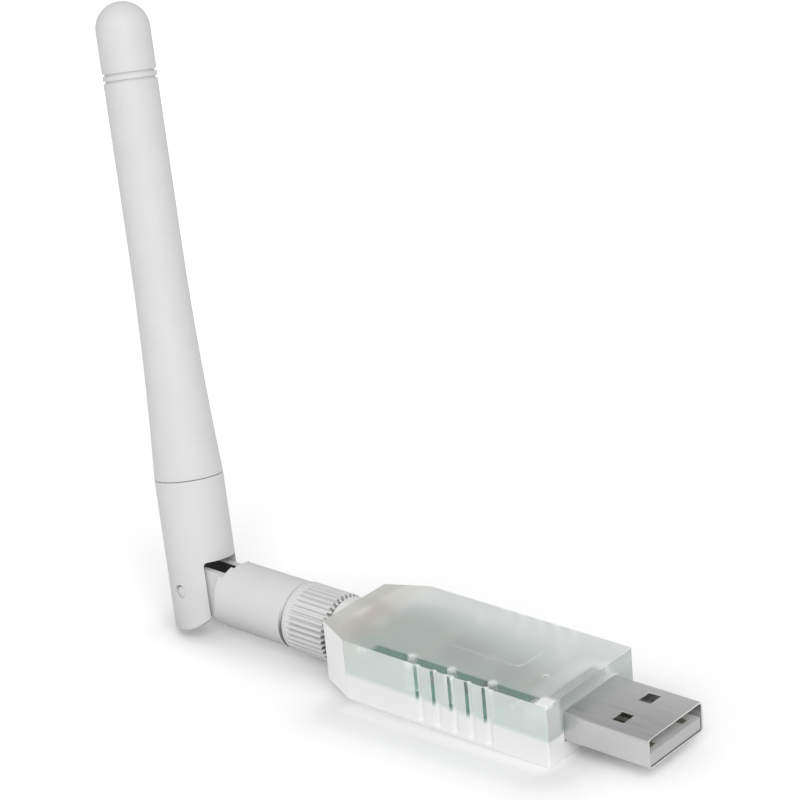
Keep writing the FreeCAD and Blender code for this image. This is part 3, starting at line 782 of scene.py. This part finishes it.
def barrelMesh():
    r, x0, x1, k, edge = base["radius"], base["shoulder"], base["front"], base["knuckle"], base["frontEdge"]
    start, bend = x0 - base["run"], base["step"]
    profile = [(base["lead"], start), (r, start), (r, x1 - edge), (r - 0.1, x1 - 0.1), (r - edge, x1)]
    profile += [(base["seatRadius"], x1), (base["seatRadius"], base["seat"]), (base["lead"], base["seat"])]
    spots = [start - 0.01 + (base["blend"] + 0.02) * i / 16 for i in range(17)] + [x1 + 1]
    near = [(x, -shoulderWidth(x)) for x in spots]
    plan = near + [(x, -y) for x, y in reversed(near)]
    barrel = joined(tubeMesh(profile, 128, "x"), prismMesh(plan, -9, 9), 'INTERSECT')
    top = [(start - 1, k), (x0, k)] + turnOf(x0 + bend, r + 0.02 - bend, bend, 180, 90, 5)
    top += [(x0 + bend + 0.05, r + 0.2), (x1 + 1, r + 0.2)]
    side = top + [(x, -z) for x, z in reversed(top)]
    return joined(barrel, prismMesh(side, -9, 9, "y"), 'INTERSECT')


def baseMesh():
    r, x0, k, c, pin = base["radius"], base["shoulder"], base["knuckle"], base["cheek"], whip["pin"][0]
    turns = [math.pi / 2 + math.pi * i / 24 for i in range(25)]
    side = [(x0 + 1, k)] + [(pin + k * math.cos(a), k * math.sin(a)) for a in turns] + [(x0 + 1, -k)]
    slot = (pin - k - 1, x0 + base["slotRun"], -base["cheekGap"], base["cheekGap"], -r, r)
    cheeks = cut(prismMesh(side, -c, c, "y"), boxMesh(*slot))
    cheeks = softened(cut(cheeks, rodMesh(base["hole"], -7, 7, 32, "y", (pin, 0, 0))), base["soften"])
    cheeks = cut(cheeks, boxMesh(x0 + 0.2, x0 + 3, -c - 1, c + 1, -9, 9))
    return cut(joined(barrelMesh(), cheeks, 'UNION'), boxMesh(*slot))


def zoneBase(piece):
    # the walls of the fork's slot lie in the dark, and the front rim in the shade of the collar
    back = baseFrame.inverted()
    for face in piece.data.polygons:
        c = back @ (face.center * 1000.0)
        if abs(c.y) < base["cheekGap"] + 0.02 and c.x < base["shoulder"] + base["slotRun"] + 0.05:
            face.material_index = 1
        elif c.x > base["front"] - 0.34 and math.hypot(c.y, c.z) > base["radius"] - 0.5:
            face.material_index = 2


# Collar
collar = {
    "back": -51.45, "front": -43.35, "radius": 5.1, "rim": 1.15, "bend": 0.5,
    "bore": 4.1, "lip": 3.5, "nutBack": -51.05, "count": 36, "depth": 0.6,
    "phase": (0.0, 0.1, 0.2, 0.27, 0.34, 0.41, 0.5, 0.59, 0.66, 0.73, 0.8, 0.9),  # one ridge and its groove
    "fall": (0.0, 0.0, 0.03, 0.3, 0.8, 1.0, 1.0, 1.0, 0.8, 0.3, 0.03, 0.0),
    "backFade": ((0.0, 0.0), (0.12, 0.45), (0.28, 0.85), (0.45, 1.0)),  # distance past the rim, share
    # inset, distance from the front, share
    "frontFade": ((0.0, 0.3, 1.0), (0.12, 0.16, 0.9), (0.45, 0.02, 0.5), (0.5, 0.0, 0.4)),
}


def collarMesh():
    # rings whose radius rises and falls with the ridges
    r, x0, x1, bend = collar["radius"], collar["back"], collar["front"], collar["bend"]
    rounded = [(r + along, x0 + bend - across, 0.0) for across, along in turnOf(0, -bend, bend, 0, 90, 5)]
    stations = [(collar["lip"], x0, 0.0)] + rounded
    stations += [(r, x0 + collar["rim"] + gap, share) for gap, share in collar["backFade"]]
    stations += [(r - inset, x1 - gap, share) for inset, gap, share in collar["frontFade"]]
    stations += [(collar["bore"], x1, 0.0), (collar["bore"], collar["nutBack"], 0.0)]
    stations.append((collar["lip"], collar["nutBack"], 0.0))
    sections = []
    for radius, x, share in stations:
        ring = []
        for i in range(collar["count"]):
            for part, fall in zip(collar["phase"], collar["fall"]):
                angle = 2 * math.pi * (i + part) / collar["count"]
                rho = radius - collar["depth"] * fall * share
                ring.append((rho * math.cos(angle), rho * math.sin(angle) + axisHeight))
        sections.append((x, ring))
    return loftMesh(sections, "x", True)


def zoneCollar(piece):
    # the feet of the knurling and the front face are shaded
    for face in piece.data.polygons:
        c = face.center * 1000.0
        depth = collar["radius"] - math.hypot(c.y, c.z - axisHeight)
        if c.x > collar["front"] - 0.4 and face.normal.x > 0.5 and depth < 1.2:
            face.material_index = 2
        elif collar["back"] + collar["rim"] < c.x < collar["front"] - 0.05 and 0.42 < depth < 0.8:
            face.material_index = 1


# Plug
plug = {
    "halfWidth": 6.0, "halfHeight": 2.25, "corner": 0.65, "sheet": 0.3, "back": -5.2, "front": 13.5,
    "lip": ((0.08, 0.0), (0.02, 0.04), (0.0, 0.1), (0.0, 0.22), (0.05, 0.3)),  # distance behind, inset
    "window": (6.34, 8.34, 2.95, 1.2, 0.18),  # back, front, middle, half width, corner
    "flare": 0.09, "flareCorner": 0.2, "flareSpan": (2.17, 2.3),  # the windows' pressed edges
    "tab": (-5.0, -3.0, 5.85, 7.3, -0.45, -0.15), "tabEdge": 0.05,
}


def plugSection(inset, corner):
    w, h = plug["halfWidth"], plug["halfHeight"]
    return roundedPlan(-w, w, -h, h, corner, 5, inset)


def plugMesh():
    lip = [(plug["front"] - gap, inset) for gap, inset in plug["lip"]]
    stations = [(plug["back"], 0.0)] + lip + [(plug["back"], plug["sheet"])]
    bm = loftMesh([(x, plugSection(inset, plug["corner"] - inset)) for x, inset in stations], "x", True)
    x0, x1, middle, half, corner = plug["window"]
    low, high = plug["flareSpan"]
    for y in (-middle, middle):
        window = (x0, x1, y - half, y + half)
        bm = cut(bm, prismMesh(roundedPlan(*window, corner, 3), -3, 3))
        tight = roundedPlan(*window, plug["flareCorner"], 3)
        wide = roundedPlan(*window, plug["flareCorner"], 3, -plug["flare"])
        flares = [loftMesh([(low, tight), (high, wide)]), loftMesh([(-high, wide), (-low, tight)])]
        bm = cut(bm, gathered(flares))
    x0, x1, y0, y1, z0, z1 = plug["tab"]
    for near, far in ((-y1, -y0), (y0, y1)):
        bm = joined(bm, softBox((x0, x1, near, far, z0, z1), plug["tabEdge"]), 'UNION')
    return bm


tongue = {
    "gap": 0.35, "corner": 0.3, "edge": 0.08, "front": 13.35, "mouth": 1.6, "top": -0.1, "soften": 0.06,
    "contacts": ((-3.5, 12.35), (-1.0, 11.35), (1.0, 11.35), (3.5, 12.35)),  # middle, front
    "contactHalf": 0.52, "contactDepth": 0.31,
}


def tongueMesh():
    gap, corner, edge, front = tongue["gap"], tongue["corner"], tongue["edge"], tongue["front"]
    whole, last = plugSection(gap, corner), plugSection(gap + edge, corner - edge)
    bm = loftMesh([(plug["back"], whole), (front - edge, whole), (front, last)], "x")
    bm = cut(bm, boxMesh(tongue["mouth"], 15, -8, 8, tongue["top"], 4))
    half = tongue["contactHalf"]
    for y, end in tongue["contacts"]:
        bm = cut(bm, boxMesh(-6, end, y - half, y + half, -tongue["contactDepth"], 0.0))
    return softened(bm, tongue["soften"])


# Antenna jack
jack = {
    "end": -47.9, "inside": -39.9, "radius": 3.15, "minor": 2.9, "bore": 2.05,
    "pitch": 0.7056, "threadFrom": -47.7, "turns": 6, "crest": (0.4, 0.58, 0.97),  # shares of the pitch
    "blocks": (((-40.0, -38.2, -3.8, 3.8, -3.1, 2.5), 0.15), ((-38.3, -36.3, -3.0, 3.0, -2.6, 2.0), 0.12)),
    "prong": (-36.5, -32.1, 0.45, 0.08),  # back, front, half width, edge
    "prongSide": 2.3, "prongHeights": (0.0, -2.1),
}


def jackMesh():
    r, minor, pitch = jack["radius"], jack["minor"], jack["pitch"]
    rise, crest, foot = jack["crest"]
    profile = [(jack["bore"], jack["end"]), (minor, jack["end"])]
    x = jack["threadFrom"]
    for k in range(jack["turns"]):
        profile += [(minor, x), (r, x + rise * pitch), (r, x + crest * pitch), (minor, x + foot * pitch)]
        x += pitch
    profile += [(minor, x + 0.1), (r, x + 0.4), (r, jack["inside"]), (jack["bore"], jack["inside"])]
    blocks = list(jack["blocks"])
    x0, x1, half, edge = jack["prong"]
    for y in (-jack["prongSide"], jack["prongSide"]):
        for z in jack["prongHeights"]:
            blocks.append(((x0, x1, y - half, y + half, z - half, z + half), edge))
    body = softBox(*blocks[0])
    for block in blocks[1:]:
        body = joined(body, softBox(*block), 'UNION')
    body = cut(body, rodMesh(jack["bore"], -49, -35, 48, "x", (0, 0, axisHeight)))
    return joined(tubeMesh(profile, 64, "x", (0, 0, axisHeight)), body, 'UNION')


# Circuit board
# the small parts' size, rounding and places, with their pads as distance, length and width
capacitor = {
    "size": (1.0, 1.6, 0.8), "edge": 0.08, "pad": (0.8, 1.2, 0.5),
    "places": [(-8.7, 2.6 * k) for k in (-1, 0, 1)] + [(-25.4, 2.6 * k) for k in (-1.5, -0.5, 0.5, 1.5)],
}
resistor = {
    "size": (0.8, 1.4, 0.45), "edge": 0.04, "pad": (0.7, 1.0, 0.45),
    "places": [(-27.1, 2.6 * k) for k in (-1, 0, 1)] + [(-16.05, -3.9), (-16.05, 3.9)],
}
board = {
    "top": -0.46, "bottom": -1.65, "halfWidth": 7.95, "back": -36.3, "front": -1.55,
    "bay": (-5.3, 6.15),  # the plug's bay: back, half width
    "corner": ((-45, 3), (-36, 7.3), (-33.5, 9), (-45, 9)),  # what is cut off at the back
    "chips": ((-12.0, 4.0, 0.62, 6), (-21.1, 6.0, 0.72, 8)),  # middle, size, pitch of pads, pads a side
    "chipPad": (0.5, 0.32), "padOut": 0.15, "padHeights": (-0.462, -0.43),
}


def padPlaces():
    # middle, length and width of each pad
    pads = []
    long, wide = board["chipPad"]
    for x, size, pitch, number in board["chips"]:
        out = size / 2 + board["padOut"]
        for k in range(number):
            along = (k - (number - 1) / 2) * pitch
            for way in (-1, 1):
                pads += [(x + way * out, along, long, wide), (x + along, way * out, wide, long)]
    for part in (capacitor, resistor):
        out, length, width = part["pad"]
        pads += [(x, y + way * out, length, width) for x, y in part["places"] for way in (1, -1)]
    return pads


def boardMesh():
    w, back, front, (bayX, bayY) = board["halfWidth"], board["back"], board["front"], board["bay"]
    plan = [(back, w), (back, -w), (front, -w), (front, -bayY)]
    plan += [(bayX, -bayY), (bayX, bayY), (front, bayY), (front, w)]
    bm = prismMesh(plan, board["bottom"], board["top"])
    bm = cut(bm, prismMesh(board["corner"], -3, 1))
    bm = cut(bm, prismMesh([(x, -y) for x, y in reversed(board["corner"])], -3, 1))
    z = board["padHeights"]
    pads = [boxMesh(x - a / 2, x + a / 2, y - b / 2, y + b / 2, *z) for x, y, a, b in padPlaces()]
    return gathered([bm] + [tinted(pad, 1) for pad in pads])


tinned = {"foot": -0.45, "length": 0.32, "edge": 0.07, "inset": 0.02, "overlap": 0.05}


def rowMesh(part):
    # bodies between two tinned ends
    half, wide, high = part["size"][0] / 2, part["size"][1] / 2, part["size"][2]
    z0, inner, inset = tinned["foot"], wide - tinned["length"], tinned["inset"]
    z1, reach = z0 + high, inner + tinned["overlap"]
    parts = []
    for x, y in part["places"]:
        body = (x - half + inset, x + half - inset, y - reach, y + reach, z0 + inset, z1 - inset)
        parts.append(softBox(body, part["edge"]))
        for near, far in ((-wide, -inner), (inner, wide)):
            parts.append(tinted(softBox((x - half, x + half, y + near, y + far, z0, z1), tinned["edge"]), 1))
    return gathered(parts)


def nodeBox(name):
    low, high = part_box(name)
    return [edge * 1000.0 for pair in zip(low, high) for edge in pair]


chip = {"edge": 0.09, "dimple": (0.22, 0.06), "dimpleInset": 0.65}  # the dimple of pin one: radius, depth


def chipMesh(name):
    x0, x1, y0, y1, z0, z1 = nodeBox(name)
    (radius, depth), inset = chip["dimple"], chip["dimpleInset"]
    profile = [(0, z1 - depth), (radius, z1 - depth), (radius + 0.04, z1 + 1), (0, z1 + 1)]
    dimple = tubeMesh(profile, 24, "z", (x0 + inset, y0 + inset, 0))
    return cut(softBox((x0, x1, y0, y1, z0, z1), chip["edge"]), dimple)


can = {
    "corner": 0.35, "foot": 0.3, "inset": 0.12, "base": 0.32,
    "shoulder": ((0.12, 0.12), (0.16, 0.04), (0.26, 0.0)),
}


def crystalMesh():
    x0, x1, y0, y1, z0, z1 = nodeBox("crystal")
    levels = [(can["inset"], z0 + can["foot"])] + [(inset, z1 - drop) for inset, drop in can["shoulder"]]
    lid = loftMesh([(z, roundedPlan(x0, x1, y0, y1, can["corner"], 4, inset)) for inset, z in levels])
    return gathered([lid, tinted(softBox((x0, x1, y0, y1, z0, z0 + can["base"]), 0.05), 1)])


led = {"base": 0.45, "inset": (0.05, 0.25), "edge": 0.12}  # the base's share of the height; the lens's inset


def ledMesh():
    x0, x1, y0, y1, z0, z1 = nodeBox("status_led")
    step = z0 + led["base"] * (z1 - z0)
    dx, dy = led["inset"]
    lens = softBox((x0 + dx, x1 - dx, y0 + dy, y1 - dy, step - 0.05, z1), led["edge"])
    return gathered([lens, tinted(softBox((x0, x1, y0, y1, z0, step), 0.05), 1)])


# Pieces
for title, name in (("radioChip", "radio_chip"), ("usbChip", "usb_chip"), ("powerRegulator", "regulator")):
    meshPiece(title, chipMesh(name), [chipBlack], "stick", (name,))
meshPiece("crystalCan", crystalMesh(), [canSilver, ceramic], "stick", ("crystal",))
meshPiece("statusLed", ledMesh(), [ledLens, beadWhite], "stick", ("status_led",))
meshPiece("capacitorRow", rowMesh(capacitor), [capTan, solder], "stick", ("capacitors",))
meshPiece("resistorRow", rowMesh(resistor), [chipBlack, solder], "stick", ("resistors",))
for title, name, bm in (("whipSleeve", "whip_sleeve", sleeveMesh()), ("tipCap", "tip_cap", capMesh()),
                        ("clevisFork", "clevis", clevisMesh()), ("hingePins", "hinge_pins", pinsMesh())):
    meshPiece(title, placed(bm, whipFrame), [antennaWhite], "whip", (name,))
basePiece = meshPiece("antennaBase", placed(baseMesh(), baseFrame), [antennaWhite, hingeShade, rimShade],
                      "base", ("antenna_base",))
zoneBase(basePiece)
collarPiece = meshPiece("knurledCollar", collarMesh(), [antennaWhite, knurlShade, frontShade],
                        "collar", ("knurled_collar",))
zoneCollar(collarPiece)
meshPiece("plugShell", plugMesh(), [plugSteel], "stick", ("plug_shell",))
tonguePiece = meshPiece("plugTongue", tongueMesh(), [tonguePlastic, tongueFrontShade],
                        "stick", ("plug_tongue",))
# painted shade: the front faces take the darker copy of the plastic
for face in tonguePiece.data.polygons:
    if face.normal.x > 0.5:
        face.material_index = 1
meshPiece("antennaJack", jackMesh(), [goldPlate], "stick", ("antenna_jack",))
meshPiece("circuitBoard", boardMesh(), [boardGreen, boardPads], "stick", ("circuit_board",))
print("antenna, plug and board built")

# Floor and light
# each tone has a reach, a box, and greys by the share of the reach from the box: "shown" is the paper,
# with a painted shadow that deepens it round the case; "under" is painted light and shade that lift the
# antenna's shadow right under it and spread it softly; "sent" is what the floor throws back, darkest under
# the antenna as a painted shade on the antenna's underside, and lighter round the case
ground = {
    "lift": -4.6, "slope": 1.95, "size": 6.0,
    "shown": (600.0, ((-34.0, -1.0), (-9.5, 9.5)),
              [(0.0, 0.98), (0.004, 0.87), (0.008, 0.92), (0.0125, 1.05),
               (0.02, 1.13), (0.06, 1.2), (0.1, 1.25), (0.5, 1.7)]),
    "under": (60.0, ((-72.0, -46.0), (-0.5, 0.5)),
              [(0.0, 1.6), (0.008, 1.5), (0.02, 1.28), (0.035, 1.10),
               (0.05, 0.98), (0.067, 0.92), (0.11, 0.94), (0.17, 1.0)]),
    "sent": (120.0, ((-76.0, -60.0), (-3.0, 3.0)),
             [(0.0, 0.20), (0.08, 0.45), (0.17, 0.90), (0.5, 0.92), (0.8, 0.76), (1.0, 0.70)]),
}


def floorTone(tree, reach, spans, tones):
    # a grey that follows the distance from a box on the floor, for the paper's white and the shadow and
    # light painted on it
    axes = objectAxes(tree)
    squares = []
    for axis, (low, high) in zip(("X", "Y"), spans):
        shifted = mathOf(tree, 'SUBTRACT', axes[axis], (low + high) / 2 * mm)
        size = mathOf(tree, 'ABSOLUTE', shifted)
        outside = mathOf(tree, 'SUBTRACT', size, (high - low) / 2 * mm)
        above = mathOf(tree, 'MAXIMUM', outside, 0.0)
        squares.append(mathOf(tree, 'MULTIPLY', above, above))
    away = mathOf(tree, 'SQRT', mathOf(tree, 'ADD', *squares))
    share = mathOf(tree, 'DIVIDE', away, reach * mm)
    return rampOf(tree, share, [(place, (tone,) * 3) for place, tone in tones])


bpy.ops.mesh.primitive_plane_add(size=ground["size"])
floor = bpy.context.object
floor.name = "floor"
floor.rotation_euler = (0.0, -math.radians(ground["slope"]), 0.0)
floor.location = (0.0, 0.0, ground["lift"] * mm)
floorMat, tree, shader = newMaterial("floorPaper", (0.8, 0.8, 0.8), 0.9)
shader.inputs["Specular IOR Level"].default_value = 0.0
# painted shadow and light: the camera sees the paper deepened round the case and the antenna's shadow
# softened, other rays meet a darker floor under the antenna
sent, shown, under = [floorTone(tree, *ground[tone]) for tone in ("sent", "shown", "under")]
seen = raysOf(tree, "Is Camera Ray", "Is Transmission Ray", "Is Glossy Ray")
paper = blend(tree, seen, sent, mathOf(tree, 'MULTIPLY', shown, under))
tree.links.new(paper, shader.inputs["Base Color"])
floor.data.materials.append(floorMat)

studio = {"white": (1.0, 1.0, 1.0, 1.0), "dome": 0.60}
world = bpy.data.worlds.new("studio")
scene.world = world
world.use_nodes = True
tree = world.node_tree
dome = tree.nodes["Background"]
dome.inputs["Color"].default_value = studio["white"]
dome.inputs["Strength"].default_value = studio["dome"]
white = tree.nodes.new("ShaderNodeBackground")
white.inputs["Color"].default_value = studio["white"]
seen = raysOf(tree, "Is Camera Ray", "Is Transmission Ray")
mixShaders(tree, seen, dome, white, "World Output")

lamps = {
    "front": {"place": (0.62, -0.60, 0.72), "aim": (-0.04, 0.0, 0.02), "size": 0.9, "power": 7.1},
    "side": {"place": (-0.45, -0.75, 0.25), "aim": (-0.03, 0.0, 0.0), "size": 0.4, "power": 0.22},
}
for name, lamp in lamps.items():
    light = bpy.data.lights.new(name, 'AREA')
    light.size = lamp["size"]
    light.energy = lamp["power"]
    holder = bpy.data.objects.new(name, light)
    holder.location = lamp["place"]
    aim = Vector(lamp["aim"]) - Vector(lamp["place"])
    holder.rotation_euler = aim.to_track_quat('-Z', 'Y').to_euler()
    scene.collection.objects.link(holder)
print("floor and light set")
